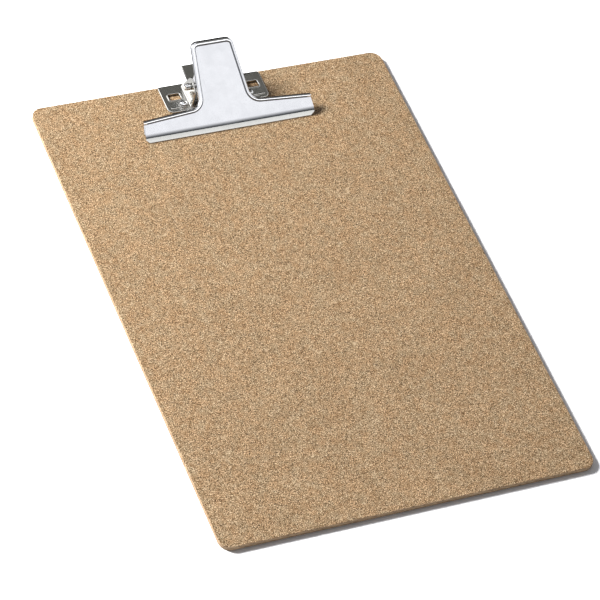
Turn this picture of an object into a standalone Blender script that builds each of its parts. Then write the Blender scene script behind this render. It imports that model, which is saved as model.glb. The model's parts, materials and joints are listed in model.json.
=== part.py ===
"""Clipboard: a hardboard sheet with a sprung metal lever clip riveted to its top edge.

Metres, +Z up. The board lies flat with its back face on z = 0 and its centre on the
origin. +Y points to the clip end, +X to the right when looking at the writing side.
The clip is shown closed, with its lip on the board.
"""
import bpy
import bmesh
from math import sin, cos, tan, asin, atan2, hypot, radians, pi
from mathutils import Vector

MM = 0.001
SHARP_ANGLE = 30.0     # degrees, edges bent more than this stay crisp

# ---- driving dimensions (millimetres) ----
GAP = 0.3              # clearance kept between touching pieces

BOARD_W = 235.0        # across
BOARD_L = 340.0        # clip edge to free edge
BOARD_T = 3.2          # 1/8 inch hardboard
BOARD_CORNER_R = 7.2
BOARD_EDGE_EASE = 0.35

PLATE_T = 0.8          # base plate sheet
PLATE_HALF_W = 34.0
PLATE_FRONT_Y = 147.2
PLATE_REAR_Y = 169.6
PLATE_CORNER_R = 4.0
PLATE_REAR_R = 1.6
TAB_HALF_W = 13.3
TAB_TAPER = 0.4        # narrower at its free end
TAB_END_Y = 184.2
TAB_CORNER_R = 1.2
SINK = 0.25            # how far added details reach into the sheet, so that they fuse

WINDOW_X = 26.2        # window centre, each side
WINDOW_Y = 159.3
WINDOW_W = 7.4
WINDOW_L = 5.0
WINDOW_R = 0.8
WINDOW_RIM = 0.9       # width of the raised rim
WINDOW_RIM_H = 0.55
WINDOW_RIM_BEVEL = 0.35
BEAD_X = 27.5          # stiffening bead in front of each window
BEAD_Y = 150.5
BEAD_LEN = 8.0
BEAD_W = 1.3
BEAD_H = 0.45

EAR_T = 0.9
EAR_ROOT_X = 18.3      # outer face of the ear at the plate
EAR_LEAN = 6.0         # degrees, inward
EAR_ROOT_R = 1.8       # outer bend radius at the root
EAR_REAR_TOP_R = 3.2
EAR_FRONT_TOP_R = 2.6
EAR_REAR_LOW = (168.4, 4.0)
EAR_REAR_TOP = (160.6, 19.8)
EAR_FRONT_TOP = (150.6, 15.0)
EAR_FRONT_LOW = (149.6, 4.0)

JAW_T = 0.9            # lever and bar sheet
JAW_TILT = 29.2        # degrees, web of the closed jaw above the board
FOLD_Y = 129.1         # outer corner of the fold between web and lip
FOLD_Z = 6.9
FOLD_R = 3.0
LIP_Y = 126.9          # front face of the lip at its lower edge
LIP_CHAMFER = 2.3      # corner cut off each end of the lip, across
LIP_CHAMFER_H = 1.7    # and upwards
BAR_HALF_W = 56.1      # at the fold
BAR_TAPER = 0.4        # narrower at the rear edge
BAR_END_DEPTH = 10.45  # fold to rear edge, measured on the web at the bar ends
BAR_REAR_SLOPE = 0.072
FILLET_R = 6.5         # bar to lever
LEVER_END = 54.6       # fold to lever end, measured on the web
LEVER_HALF_W = 13.85   # at the lever end
LEVER_TAPER = 0.085    # half width gained per millimetre towards the bar
LEVER_CORNER_R = 5.0
RIM_W = 2.7            # raised rim round the recessed web
RIM_H = 1.0
RIM_STEP = 0.5
RIM_OUT_R = 2.2        # roll of the rim's outer edge
END_RIM_W = 3.4        # both are larger across the lever end
END_OUT_R = 2.9
FLANGE_SIDE = 4.3      # flange depth below the web, lever sides
FLANGE_REAR = 1.6      # bar rear edge
FLANGE_END = 2.3       # lever end
FLANGE_RISE = 6.0      # run over which the flange deepens behind the bar
FLANGE_FADE = 7.0      # run over which it grows shallow again at the lever end
FLANGE_INSET = 1.6     # how far the side flange stands in from the rolled rim's edge
CHEEK_SIDE = 4.5       # half width past the lever end that still counts as lever side
CHEEK_HALF_L = 5.4     # half length of the cheek along the lever
CHEEK_DROP = 0.75      # cheek depth below the pin, as a share of its half length
CHEEK_BLEND = 4.0      # run over which the cheek fades into the flange

PIN_Y = 158.0
PIN_Z = 13.4
PIN_R = 1.5
PIN_HEAD_R = 2.2
PIN_HEAD_LEN = 3.6     # formed head, left end
PIN_HEAD_DOME = 0.8
PIN_PEEN_H = 0.9       # peened over, right end
BORE_REACH = 22.0      # half length of the bore cutter, past both ears

WIRE_R = 0.7           # torsion spring
COIL_R = 3.3           # wire centre line
COIL_TURNS = 4
COIL_PITCH = 1.75
COIL_INNER_X = 3.2
SPRING_LEG_Y = 166.5
SPRING_LEG_REACH = 12.0  # run of the lower leg behind the coil
SPRING_BRIDGE_R = 1.4  # bend between the bridge and each arm
SPRING_TOP_S = 43.2    # where the bridge bears under the web

RIVET_X = 22.0
RIVET_Y = 153.2
RIVET_R = 1.5
RIVET_HEAD_R = 2.4
RIVET_HEAD_H = 1.0
RIVET_TAIL_R = 2.6
RIVET_TAIL_H = 0.6
RIVET_TAIL_BEVEL = 0.3
RECESS_R = 3.2
RECESS_DEPTH = 1.2

PLATE_Z = BOARD_T + GAP
PLATE_TOP = PLATE_Z + PLATE_T
TILT = radians(JAW_TILT)


# ---- small helpers ----
def clear_scene():
    for ob in list(bpy.data.objects):
        bpy.data.objects.remove(ob, do_unlink=True)


def material(name, colour, metallic, roughness):
    mat = bpy.data.materials.new(name)
    mat.use_nodes = True
    shader = mat.node_tree.nodes["Principled BSDF"]
    shader.inputs["Base Color"].default_value = (*colour, 1.0)
    shader.inputs["Metallic"].default_value = metallic
    shader.inputs["Roughness"].default_value = roughness
    mat.diffuse_color = (*colour, 1.0)
    return mat


def object_from(name, bm, mat=None, origin=(0.0, 0.0, 0.0)):
    """Turn a bmesh in millimetres into an object in metres with its origin at origin (mm)."""
    bmesh.ops.remove_doubles(bm, verts=bm.verts[:], dist=0.0005)
    bmesh.ops.recalc_face_normals(bm, faces=bm.faces[:])
    bmesh.ops.translate(bm, verts=bm.verts[:], vec=[-v for v in origin])
    bmesh.ops.scale(bm, verts=bm.verts[:], vec=(MM, MM, MM))
    mesh = bpy.data.meshes.new(name)
    bm.to_mesh(mesh)
    bm.free()
    mesh.shade_smooth()
    mesh.set_sharp_from_angle(angle=radians(SHARP_ANGLE))
    ob = bpy.data.objects.new(name, mesh)
    ob.location = [v * MM for v in origin]
    bpy.context.scene.collection.objects.link(ob)
    if mat is not None:
        mesh.materials.append(mat)
    return ob


def helper(ob):
    ob.hide_render = True
    ob.display_type = "WIRE"
    return ob


def boolean(target, tool, operation):
    mod = target.modifiers.new(operation.lower() + "_" + tool.name, "BOOLEAN")
    mod.operation = operation
    mod.solver = "EXACT"
    mod.object = tool
    helper(tool)


def prism(bm, points, to_3d, low, high):
    """Extrude a 2-D polygon; to_3d(a, b, c) places plane point (a, b) at depth c."""
    base = [bm.verts.new(to_3d(a, b, low)) for a, b in points]
    top = [bm.verts.new(to_3d(a, b, high)) for a, b in points]
    bm.faces.new(base[::-1])
    bm.faces.new(top)
    for i in range(len(points)):
        j = (i + 1) % len(points)
        bm.faces.new((base[i], base[j], top[j], top[i]))


def flat(a, b, c):
    return (a, b, c)


def rounded(corners, steps=6):
    """Round a polygon given as (x, y, radius) corners."""
    out = []
    count = len(corners)
    for i, (x, y, r) in enumerate(corners):
        here = Vector((x, y))
        back = (Vector(corners[i - 1][:2]) - here).normalized()
        ahead = (Vector(corners[(i + 1) % count][:2]) - here).normalized()
        if r <= 0.0:
            out.append((x, y))
            continue
        half = back.angle(ahead) / 2.0
        centre = here + (back + ahead).normalized() * (r / sin(half))
        start = here + back * (r / tan(half)) - centre
        end = here + ahead * (r / tan(half)) - centre
        a0 = atan2(start.y, start.x)
        turn = (atan2(end.y, end.x) - a0 + pi) % (2.0 * pi) - pi
        for k in range(steps + 1):
            a = a0 + turn * k / steps
            out.append((centre.x + r * cos(a), centre.y + r * sin(a)))
    return out


def lathe_x(bm, profile, centre, steps=32):
    """Turn (x, radius) points about an axis along X through centre (y, z)."""
    rings = []
    for x, r in profile:
        if r < 1e-6:
            rings.append([bm.verts.new((x, centre[0], centre[1]))])
            continue
        ring = []
        for k in range(steps):
            a = 2.0 * pi * k / steps
            ring.append(bm.verts.new((x, centre[0] + r * cos(a), centre[1] + r * sin(a))))
        rings.append(ring)
    join_rings(bm, rings, steps)


def lathe_z(bm, profile, centre, steps=32):
    """Turn (z, radius) points about a vertical axis through centre (x, y)."""
    rings = []
    for z, r in profile:
        if r < 1e-6:
            rings.append([bm.verts.new((centre[0], centre[1], z))])
            continue
        ring = []
        for k in range(steps):
            a = 2.0 * pi * k / steps
            ring.append(bm.verts.new((centre[0] + r * cos(a), centre[1] + r * sin(a), z)))
        rings.append(ring)
    join_rings(bm, rings, steps)


def join_rings(bm, rings, steps):
    for lower, upper in zip(rings, rings[1:]):
        for k in range(steps):
            n = (k + 1) % steps
            if len(lower) == 1:
                bm.faces.new((lower[0], upper[n], upper[k]))
            elif len(upper) == 1:
                bm.faces.new((lower[k], lower[n], upper[0]))
            else:
                bm.faces.new((lower[k], lower[n], upper[n], upper[k]))


def dome(edge_r, height, steps=6):
    """(offset, radius) points of a shallow cap, from its rim to its tip."""
    angles = [pi / 2 * k / steps for k in range(steps + 1)]
    return [(height * sin(a), edge_r * cos(a)) for a in angles]


def side_tag(side):
    return "l" if side < 0 else "r"


def smooth_step(u):
    u = min(1.0, max(0.0, u))
    return u * u * (3.0 - 2.0 * u)


def bore_tool(name):
    """Cutter for the hinge bore, running through both cheeks or both ears."""
    bm = bmesh.new()
    r = PIN_R + GAP
    profile = [(-BORE_REACH, 0.0), (-BORE_REACH, r), (BORE_REACH, r), (BORE_REACH, 0.0)]
    lathe_x(bm, profile, (PIN_Y, PIN_Z))
    return object_from(name, bm)


# ---- board ----
def build_board(mat):
    hw, hl, r = BOARD_W / 2, BOARD_L / 2, BOARD_CORNER_R
    outline = rounded([(-hw, -hl, r), (hw, -hl, r), (hw, hl, r), (-hw, hl, r)], steps=10)
    e = BOARD_EDGE_EASE
    inner = rounded([(-hw + e, -hl + e, r - e), (hw - e, -hl + e, r - e),
                     (hw - e, hl - e, r - e), (-hw + e, hl - e, r - e)], steps=10)
    bm = bmesh.new()
    rows = []
    for z, pts in ((0.0, inner), (e, outline), (BOARD_T - e, outline), (BOARD_T, inner)):
        rows.append([bm.verts.new((x, y, z)) for x, y in pts])
    for lower, upper in zip(rows, rows[1:]):
        for i in range(len(lower)):
            j = (i + 1) % len(lower)
            bm.faces.new((lower[i], lower[j], upper[j], upper[i]))
    bm.faces.new(rows[0][::-1])
    bm.faces.new(rows[-1])
    board = object_from("board", bm, mat)
    for side in (-1, 1):
        cut = bmesh.new()
        profile = [(-1.0, 0.0), (-1.0, RECESS_R), (RECESS_DEPTH, RECESS_R),
                   (RECESS_DEPTH, RIVET_R + GAP), (BOARD_T + 1.0, RIVET_R + GAP), (BOARD_T + 1.0, 0.0)]
        lathe_z(cut, profile, (side * RIVET_X, RIVET_Y))
        boolean(board, object_from("cut_board_rivet_" + side_tag(side), cut), "DIFFERENCE")
    return board


# ---- base plate ----
def plate_outline():
    w, f, b = PLATE_HALF_W, PLATE_FRONT_Y, PLATE_REAR_Y
    r, q, t = PLATE_CORNER_R, PLATE_REAR_R, TAB_CORNER_R
    return rounded([(-w, f, r), (w, f, r), (w, b, q), (TAB_HALF_W, b, 0.0),
                    (TAB_HALF_W - TAB_TAPER, TAB_END_Y, t), (-TAB_HALF_W + TAB_TAPER, TAB_END_Y, t),
                    (-TAB_HALF_W, b, 0.0), (-w, b, q)])


def box_points(cx, cy, w, l, r):
    return rounded([(cx - w / 2, cy - l / 2, r), (cx + w / 2, cy - l / 2, r),
                    (cx + w / 2, cy + l / 2, r), (cx - w / 2, cy + l / 2, r)], steps=4)


def ear_tool(side):
    """Upright ear with its root bend, overlapping the plate so that the two fuse."""
    lean = tan(radians(EAR_LEAN))
    bm = bmesh.new()
    loop = rounded([(*EAR_FRONT_LOW, 0.0), (*EAR_REAR_LOW, 0.0),
                    (*EAR_REAR_TOP, EAR_REAR_TOP_R), (*EAR_FRONT_TOP, EAR_FRONT_TOP_R)])

    def place(y, z, depth):
        return (side * (EAR_ROOT_X - (z - PLATE_TOP) * lean - depth), y, z)

    prism(bm, loop, place, 0.0, EAR_T)
    return object_from("add_ear_" + side_tag(side), bm)


def root_tool(side):
    """Concave bend between the wing and the ear."""
    r = EAR_ROOT_R
    turn = pi / 2 - radians(EAR_LEAN)
    cx = EAR_ROOT_X + r * tan(turn / 2)
    cz = PLATE_TOP + r
    inside = EAR_T / 2
    points = [(EAR_ROOT_X - inside, PLATE_TOP - SINK), (cx, PLATE_TOP - SINK)]
    for k in range(9):
        a = -pi / 2 - turn * k / 8
        points.append((cx + r * cos(a), cz + r * sin(a)))
    points.append((points[-1][0] - inside, points[-1][1]))
    bm = bmesh.new()

    def place(x, z, y):
        return (side * x, y, z)

    prism(bm, points, place, EAR_FRONT_LOW[0] + 0.05, EAR_REAR_LOW[0] - 1.2)
    return object_from("add_root_" + side_tag(side), bm)


def rim_tool(side):
    """Raised rim round a window, as a low frustum ring."""
    cx, cy = side * WINDOW_X, WINDOW_Y
    bm = bmesh.new()
    rows = []
    foot = WINDOW_RIM
    crest = WINDOW_RIM - WINDOW_RIM_BEVEL
    for z, grow in ((PLATE_TOP - SINK, foot), (PLATE_TOP, foot), (PLATE_TOP + WINDOW_RIM_H, crest)):
        pts = box_points(cx, cy, WINDOW_W + 2 * grow, WINDOW_L + 2 * grow, WINDOW_R + grow)
        rows.append([bm.verts.new((x, y, z)) for x, y in pts])
    for lower, upper in zip(rows, rows[1:]):
        for i in range(len(lower)):
            j = (i + 1) % len(lower)
            bm.faces.new((lower[i], lower[j], upper[j], upper[i]))
    bm.faces.new(rows[0][::-1])
    bm.faces.new(rows[-1])
    return object_from("add_rim_" + side_tag(side), bm)


def bead_tool(side):
    """Low rounded bead parallel to the front edge of the wing."""
    points = [(BEAD_Y - BEAD_W / 2, PLATE_TOP - SINK)]
    for k in range(7):
        a = pi * k / 6
        points.append((BEAD_Y - BEAD_W / 2 * cos(a), PLATE_TOP + BEAD_H * sin(a)))
    points.append((BEAD_Y + BEAD_W / 2, PLATE_TOP - SINK))
    bm = bmesh.new()

    def place(y, z, x):
        return (side * x, y, z)

    prism(bm, points, place, BEAD_X - BEAD_LEN / 2, BEAD_X + BEAD_LEN / 2)
    return object_from("add_bead_" + side_tag(side), bm)


def build_plate(mat):
    bm = bmesh.new()
    prism(bm, plate_outline(), flat, PLATE_Z, PLATE_TOP)
    plate = object_from("base_plate", bm, mat)
    for side in (-1, 1):
        tag = side_tag(side)
        boolean(plate, ear_tool(side), "UNION")
        boolean(plate, root_tool(side), "UNION")
        boolean(plate, rim_tool(side), "UNION")
        boolean(plate, bead_tool(side), "UNION")
        cut = bmesh.new()
        window = box_points(side * WINDOW_X, WINDOW_Y, WINDOW_W, WINDOW_L, WINDOW_R)
        prism(cut, window, flat, PLATE_Z - 1.0, PLATE_TOP + 2.0)
        boolean(plate, object_from("cut_window_" + tag, cut), "DIFFERENCE")
        cut = bmesh.new()
        r = RIVET_R + GAP
        hole = [(PLATE_Z - 1.0, 0.0), (PLATE_Z - 1.0, r), (PLATE_TOP + 1.0, r), (PLATE_TOP + 1.0, 0.0)]
        lathe_z(cut, hole, (side * RIVET_X, RIVET_Y))
        boolean(plate, object_from("cut_plate_rivet_" + tag, cut), "DIFFERENCE")
    boolean(plate, bore_tool("cut_ear_bore"), "DIFFERENCE")
    return plate


# ---- jaw: lever, bar and lip pressed from one sheet ----
def jaw_point(x, s, n):
    """Place a point given across (x), up the web from the fold (s) and out of the web (n)."""
    return (x, FOLD_Y + s * cos(TILT) - n * sin(TILT), FOLD_Z + s * sin(TILT) + n * cos(TILT))


def pin_in_jaw():
    dy, dz = PIN_Y - FOLD_Y, PIN_Z - FOLD_Z
    return dy * cos(TILT) + dz * sin(TILT), -dy * sin(TILT) + dz * cos(TILT)


def jaw_half_outline():
    """Right half of the rimmed edge, from the bar end to the middle of the lever end."""
    end_x = BAR_HALF_W - BAR_TAPER
    root_s = BAR_END_DEPTH
    # corner where the bar's rear edge meets the lever side
    side0 = LEVER_HALF_W + LEVER_TAPER * LEVER_END
    corner_s = (root_s + BAR_REAR_SLOPE * (end_x - side0)) / (1.0 - BAR_REAR_SLOPE * LEVER_TAPER)
    corner_x = side0 - LEVER_TAPER * corner_s
    corners = [(end_x, root_s, 0.0), (corner_x, corner_s, FILLET_R),
               (LEVER_HALF_W, LEVER_END, LEVER_CORNER_R), (0.0, LEVER_END, 0.0), (0.0, 0.0, 0.0)]
    points = rounded(corners, steps=12)[:-1]
    return resample(points, 1.6)


def resample(points, step):
    """Split long straight runs so that no segment is longer than step."""
    out = [points[0]]
    for (x0, y0), (x1, y1) in zip(points, points[1:]):
        count = max(1, round(hypot(x1 - x0, y1 - y0) / step))
        for k in range(1, count + 1):
            out.append((x0 + (x1 - x0) * k / count, y0 + (y1 - y0) * k / count))
    return out


def flange_at(x, s):
    """Depth and inset of the flange: shallow and flush at the bar and lever end, deep at the cheeks."""
    rise = smooth_step((s - BAR_END_DEPTH - FILLET_R / 3) / FLANGE_RISE)
    fade = smooth_step((LEVER_END - 1.0 - s) / FLANGE_FADE)
    share = min(rise, fade)
    shallow = FLANGE_REAR if s < LEVER_END / 2 else FLANGE_END
    depth = shallow + (FLANGE_SIDE - shallow) * share
    pin_s, pin_n = pin_in_jaw()
    off = abs(s - pin_s)
    on_lever_side = abs(x) < LEVER_HALF_W + CHEEK_SIDE
    if off < CHEEK_HALF_L and on_lever_side:
        depth = max(depth, -pin_n + CHEEK_DROP * (CHEEK_HALF_L ** 2 - off ** 2) ** 0.5)
    elif off < CHEEK_HALF_L + CHEEK_BLEND and on_lever_side:
        blend = 1.0 - (off - CHEEK_HALF_L) / CHEEK_BLEND
        depth += max(0.0, -pin_n - depth) * blend * blend
    return depth, share


def rim_profile(depth, share, end_share):
    """Outer and inner (inward distance, height) points of the rolled edge.

    share runs from 0, flange flush with the rim, to 1, flange fully inset under it.
    end_share runs from 0 along the sides to 1 across the lever end.
    """
    t = JAW_T
    r = RIM_OUT_R + (END_OUT_R - RIM_OUT_R) * end_share
    width = RIM_W + (END_RIM_W - RIM_W) * end_share
    inset = FLANGE_INSET * share
    side = RIM_H - r                  # height at which the edge turns under
    crest = width - RIM_STEP
    top = pi / 2 + asin(max(0.0, (r - crest) / r))
    outer = [(inset, -depth), (inset, side - 0.05 - 0.6 * share), (0.0, side)]
    for k in range(1, 6):
        a = pi + (top - pi) * k / 5
        outer.append((r + r * cos(a), side + r * sin(a)))
    outer.append((crest, RIM_H))
    outer.append((crest + RIM_STEP / 2, RIM_H / 2))
    outer.append((width, 0.0))
    inner = [(t + inset, -depth), (t + inset, side - 0.25 * share)]
    q = r - t
    start = pi - share * pi / 3
    for k in range(7):
        a = start + (pi / 2 - start) * k / 6
        inner.append((r + q * cos(a), side + q * sin(a)))
    inner.append((width + 0.1, RIM_H / 2 - t))
    inner.append((width + 0.6, -t))
    return outer, inner


def front_profile(chamfered):
    """Outer and inner (y, z) points from the web over the fold and down the lip."""
    lip_z = BOARD_T + GAP
    if chamfered:
        lip_z += LIP_CHAMFER_H
    lean = atan2(FOLD_Y - LIP_Y, FOLD_Z - BOARD_T - GAP)
    down = Vector((-sin(lean), -cos(lean)))
    back = Vector((cos(TILT), sin(TILT)))
    corner = Vector((FOLD_Y, FOLD_Z))
    half = down.angle(back) / 2.0
    bisect = (down + back).normalized()
    centre = corner + bisect * (FOLD_R / sin(half))
    start = corner + back * (FOLD_R / tan(half)) - centre
    end = corner + down * (FOLD_R / tan(half)) - centre
    a0 = atan2(start.y, start.x)
    turn = (atan2(end.y, end.x) - a0 + pi) % (2.0 * pi) - pi
    outer, inner = [], []
    for k in range(7):
        a = a0 + turn * k / 6
        ray = Vector((cos(a), sin(a)))
        outer.append(tuple(centre + ray * FOLD_R))
        inner.append(tuple(centre + ray * (FOLD_R - JAW_T)))
    drop = (FOLD_Z - lip_z) / cos(lean)
    tip = corner + down * drop
    into = Vector((cos(lean), -sin(lean)))
    outer.append(tuple(tip))
    inner.append((tip.x + into.x * JAW_T, tip.y))
    return outer, inner


def build_jaw(mat):
    half = jaw_half_outline()
    path = half + [(-x, s) for x, s in reversed(half[:-1])]
    count = len(path)
    bm = bmesh.new()

    # inward direction at every path point (the edge is walked from +X round to -X)
    inward = []
    for i, (x, s) in enumerate(path):
        if i == 0 or i == count - 1:
            inward.append((0.0, -1.0))
            continue
        before = Vector((x - path[i - 1][0], s - path[i - 1][1])).normalized()
        after = Vector((path[i + 1][0] - x, path[i + 1][1] - s)).normalized()
        n0 = Vector((-before.y, before.x))
        n1 = Vector((-after.y, after.x))
        mean = (n0 + n1).normalized()
        inward.append(tuple(mean / max(0.5, mean.dot(n0))))

    rows_out, rows_in = [], []
    for (x, s), (dx, ds) in zip(path, inward):
        end_share = smooth_step((s - LEVER_END) / LEVER_CORNER_R + 1.0)
        outer, inner = rim_profile(*flange_at(x, s), end_share)
        rows_out.append([bm.verts.new(jaw_point(x + d * dx, s + d * ds, n)) for d, n in outer])
        rows_in.append([bm.verts.new(jaw_point(x + d * dx, s + d * ds, n)) for d, n in inner])
    for i in range(count - 1):
        for j in range(len(rows_out[0]) - 1):
            bm.faces.new((rows_out[i][j], rows_out[i + 1][j], rows_out[i + 1][j + 1], rows_out[i][j + 1]))
            bm.faces.new((rows_in[i][j + 1], rows_in[i + 1][j + 1], rows_in[i + 1][j], rows_in[i][j]))
        bm.faces.new((rows_out[i][0], rows_in[i][0], rows_in[i + 1][0], rows_out[i + 1][0]))

    # fold and lip, swept from +X to -X; the two end stations carry the chamfer
    lip_out, lip_in = [], []
    for x, chamfered in ((BAR_HALF_W, True), (BAR_HALF_W - LIP_CHAMFER, False),
                         (-BAR_HALF_W + LIP_CHAMFER, False), (-BAR_HALF_W, True)):
        outer, inner = front_profile(chamfered)
        lip_out.append([bm.verts.new((x, y, z)) for y, z in outer])
        lip_in.append([bm.verts.new((x, y, z)) for y, z in inner])
    for i in range(3):
        for j in range(len(lip_out[0]) - 1):
            bm.faces.new((lip_out[i][j], lip_out[i][j + 1], lip_out[i + 1][j + 1], lip_out[i + 1][j]))
            bm.faces.new((lip_in[i][j + 1], lip_in[i][j], lip_in[i + 1][j], lip_in[i + 1][j + 1]))
        bm.faces.new((lip_out[i][-1], lip_in[i][-1], lip_in[i + 1][-1], lip_out[i + 1][-1]))

    # recessed web, upper and lower side
    bm.faces.new([row[-1] for row in rows_out] + [row[0] for row in reversed(lip_out)])
    bm.faces.new([row[0] for row in lip_in] + [row[-1] for row in reversed(rows_in)])

    # bar ends
    for rim_o, rim_i, lip_o, lip_i in ((rows_out[0], rows_in[0], lip_out[0], lip_in[0]),
                                       (rows_out[-1], rows_in[-1], lip_out[-1], lip_in[-1])):
        bm.faces.new(rim_o + lip_o + lip_i[::-1] + rim_i[::-1])

    jaw = object_from("jaw", bm, mat, origin=(0.0, PIN_Y, PIN_Z))
    boolean(jaw, bore_tool("cut_jaw_bore"), "DIFFERENCE")
    return jaw


# ---- hinge pin ----
def build_pin(mat):
    lean = tan(radians(EAR_LEAN))
    face = EAR_ROOT_X - (PIN_Z - PLATE_TOP) * lean
    head = face + PIN_HEAD_R * lean + GAP / 2
    right = [(head, PIN_R)] + [(head + dx, r) for dx, r in dome(PIN_HEAD_R, PIN_PEEN_H)]
    rim = -head - PIN_HEAD_LEN + PIN_HEAD_DOME
    left = [(-head, PIN_R), (-head, PIN_HEAD_R)]
    left += [(rim - dx, r) for dx, r in dome(PIN_HEAD_R, PIN_HEAD_DOME)]
    bm = bmesh.new()
    lathe_x(bm, left[::-1] + right, (PIN_Y, PIN_Z))
    return object_from("hinge_pin", bm, mat, origin=(0.0, PIN_Y, PIN_Z))


# ---- torsion spring ----
def tube(bm, path, radius, steps=10):
    """Sweep a round wire along a polyline with a parallel-carried frame."""
    normal = None
    rings = []
    for i, p in enumerate(path):
        a = path[max(0, i - 1)]
        b = path[min(len(path) - 1, i + 1)]
        along = (b - a).normalized()
        if normal is None:
            normal = along.orthogonal().normalized()
        normal = (normal - along * normal.dot(along)).normalized()
        side = along.cross(normal)
        ring = []
        for k in range(steps):
            t = 2.0 * pi * k / steps
            ring.append(bm.verts.new(p + (normal * cos(t) + side * sin(t)) * radius))
        rings.append(ring)
    join_rings(bm, rings, steps)
    bm.faces.new(rings[0][::-1])
    bm.faces.new(rings[-1])


def spring_half():
    """Right half of the wire, from the middle of the bridge to the end of the leg."""
    top_y = FOLD_Y + SPRING_TOP_S * cos(TILT)
    web_z = FOLD_Z + SPRING_TOP_S * sin(TILT)
    top_z = web_z - (JAW_T + GAP + WIRE_R) / cos(TILT)
    centre = Vector((PIN_Y, PIN_Z))
    target = Vector((top_y, top_z))
    gap = target - centre
    start_angle = atan2(gap.y, gap.x) + pi / 2 - asin(COIL_R / gap.length)
    floor_z = PLATE_TOP + GAP + WIRE_R
    end_angle = -pi / 2 - asin((PIN_Z - COIL_R - floor_z) / SPRING_LEG_REACH)
    b = SPRING_BRIDGE_R
    to_coil = -gap.normalized()
    points = [Vector((0.0, top_y, top_z)), Vector((COIL_INNER_X - b, top_y, top_z))]
    for k in range(1, 4):
        a = pi / 2 * k / 3
        run = b * (1 - cos(a))
        x = COIL_INNER_X - b + b * sin(a)
        points.append(Vector((x, top_y + run * to_coil.x, top_z + run * to_coil.y)))
    total = COIL_TURNS * 2 * pi + (start_angle - end_angle) % (2 * pi)
    steps = int(total / (2 * pi) * 18)
    for k in range(steps + 1):
        u = k / steps
        a = start_angle + total * u
        x = COIL_INNER_X + COIL_PITCH * total / (2 * pi) * u
        points.append(Vector((x, PIN_Y + COIL_R * cos(a), PIN_Z + COIL_R * sin(a))))
    last = points[-1]
    points.append(Vector((last.x + 0.2, SPRING_LEG_Y, floor_z)))
    return points


def build_spring(mat):
    half = spring_half()
    path = [Vector((-p.x, p.y, p.z)) for p in reversed(half[1:])] + half
    bm = bmesh.new()
    tube(bm, path, WIRE_R)
    return object_from("torsion_spring", bm, mat, origin=(0.0, PIN_Y, PIN_Z))


# ---- rivets ----
def build_rivet(name, side, mat):
    head = PLATE_TOP + GAP
    tail = RECESS_DEPTH - GAP
    cap = [(head + dz, r) for dz, r in dome(RIVET_HEAD_R, RIVET_HEAD_H)]
    low = tail - RIVET_TAIL_H
    profile = [(low, 0.0), (low, RIVET_TAIL_R - RIVET_TAIL_BEVEL),
               (low + RIVET_TAIL_BEVEL, RIVET_TAIL_R), (tail, RIVET_TAIL_R),
               (tail, RIVET_R), (head, RIVET_R)] + cap
    bm = bmesh.new()
    lathe_z(bm, profile, (side * RIVET_X, RIVET_Y))
    return object_from(name, bm, mat)


def main():
    clear_scene()
    hardboard = material("hardboard", (0.50, 0.34, 0.20), 0.0, 0.75)
    nickel = material("bright_nickel", (0.80, 0.80, 0.79), 1.0, 0.12)
    plate_nickel = material("plate_nickel", (0.70, 0.70, 0.68), 1.0, 0.22)
    pin_steel = material("pin_steel", (0.66, 0.66, 0.66), 1.0, 0.25)
    wire_steel = material("spring_steel", (0.42, 0.42, 0.42), 1.0, 0.3)
    rivet_a = material("rivet_nickel_left", (0.74, 0.74, 0.73), 1.0, 0.2)
    rivet_b = material("rivet_nickel_right", (0.74, 0.74, 0.73), 1.0, 0.2)
    build_board(hardboard)
    build_plate(plate_nickel)
    build_jaw(nickel)
    build_pin(pin_steel)
    build_spring(wire_steel)
    build_rivet("rivet_left", -1, rivet_a)
    build_rivet("rivet_right", 1, rivet_b)


main()
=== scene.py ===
"""Clipboard looks: a mottled hardboard sheet with a nickel-plated lever clip.

Every piece is remade finer than its CAD solid, in the same place, and stands for it.
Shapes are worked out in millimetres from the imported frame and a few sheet-metal sizes,
and become metres when a mesh is made. +Y points to the clip end, +Z out of the writing
face, +X to the right. In the jaw, s runs up the web from the fold and n out of the web.
"""

import json
from math import sin, cos, tan, asin, atan2, hypot, radians, pi

import bmesh
import bpy
from mathutils import Matrix, Vector


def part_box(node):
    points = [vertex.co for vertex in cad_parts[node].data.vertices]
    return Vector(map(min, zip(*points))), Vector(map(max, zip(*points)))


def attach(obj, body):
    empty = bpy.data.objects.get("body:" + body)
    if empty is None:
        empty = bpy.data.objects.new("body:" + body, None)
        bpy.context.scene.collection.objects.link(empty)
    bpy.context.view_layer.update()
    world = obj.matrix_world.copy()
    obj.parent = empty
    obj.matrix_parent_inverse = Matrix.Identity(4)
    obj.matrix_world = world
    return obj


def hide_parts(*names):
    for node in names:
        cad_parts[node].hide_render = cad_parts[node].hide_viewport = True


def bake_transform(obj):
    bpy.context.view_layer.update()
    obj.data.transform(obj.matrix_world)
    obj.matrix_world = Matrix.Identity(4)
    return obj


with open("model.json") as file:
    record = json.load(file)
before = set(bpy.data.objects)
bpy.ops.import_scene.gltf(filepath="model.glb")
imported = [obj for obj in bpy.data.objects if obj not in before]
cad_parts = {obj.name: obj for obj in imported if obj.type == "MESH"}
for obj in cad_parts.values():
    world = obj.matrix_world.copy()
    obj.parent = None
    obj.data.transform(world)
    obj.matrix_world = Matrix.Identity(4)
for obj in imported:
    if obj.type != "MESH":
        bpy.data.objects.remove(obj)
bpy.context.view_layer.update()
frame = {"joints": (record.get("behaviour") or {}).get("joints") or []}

MM = 0.001
GAP = 0.3              # clearance between touching pieces, as in the frame
MERGE = 0.0005         # points closer than this are one
SHARP_ANGLE = 42.0     # degrees, metal edges bent more than this stay crisp

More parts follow.
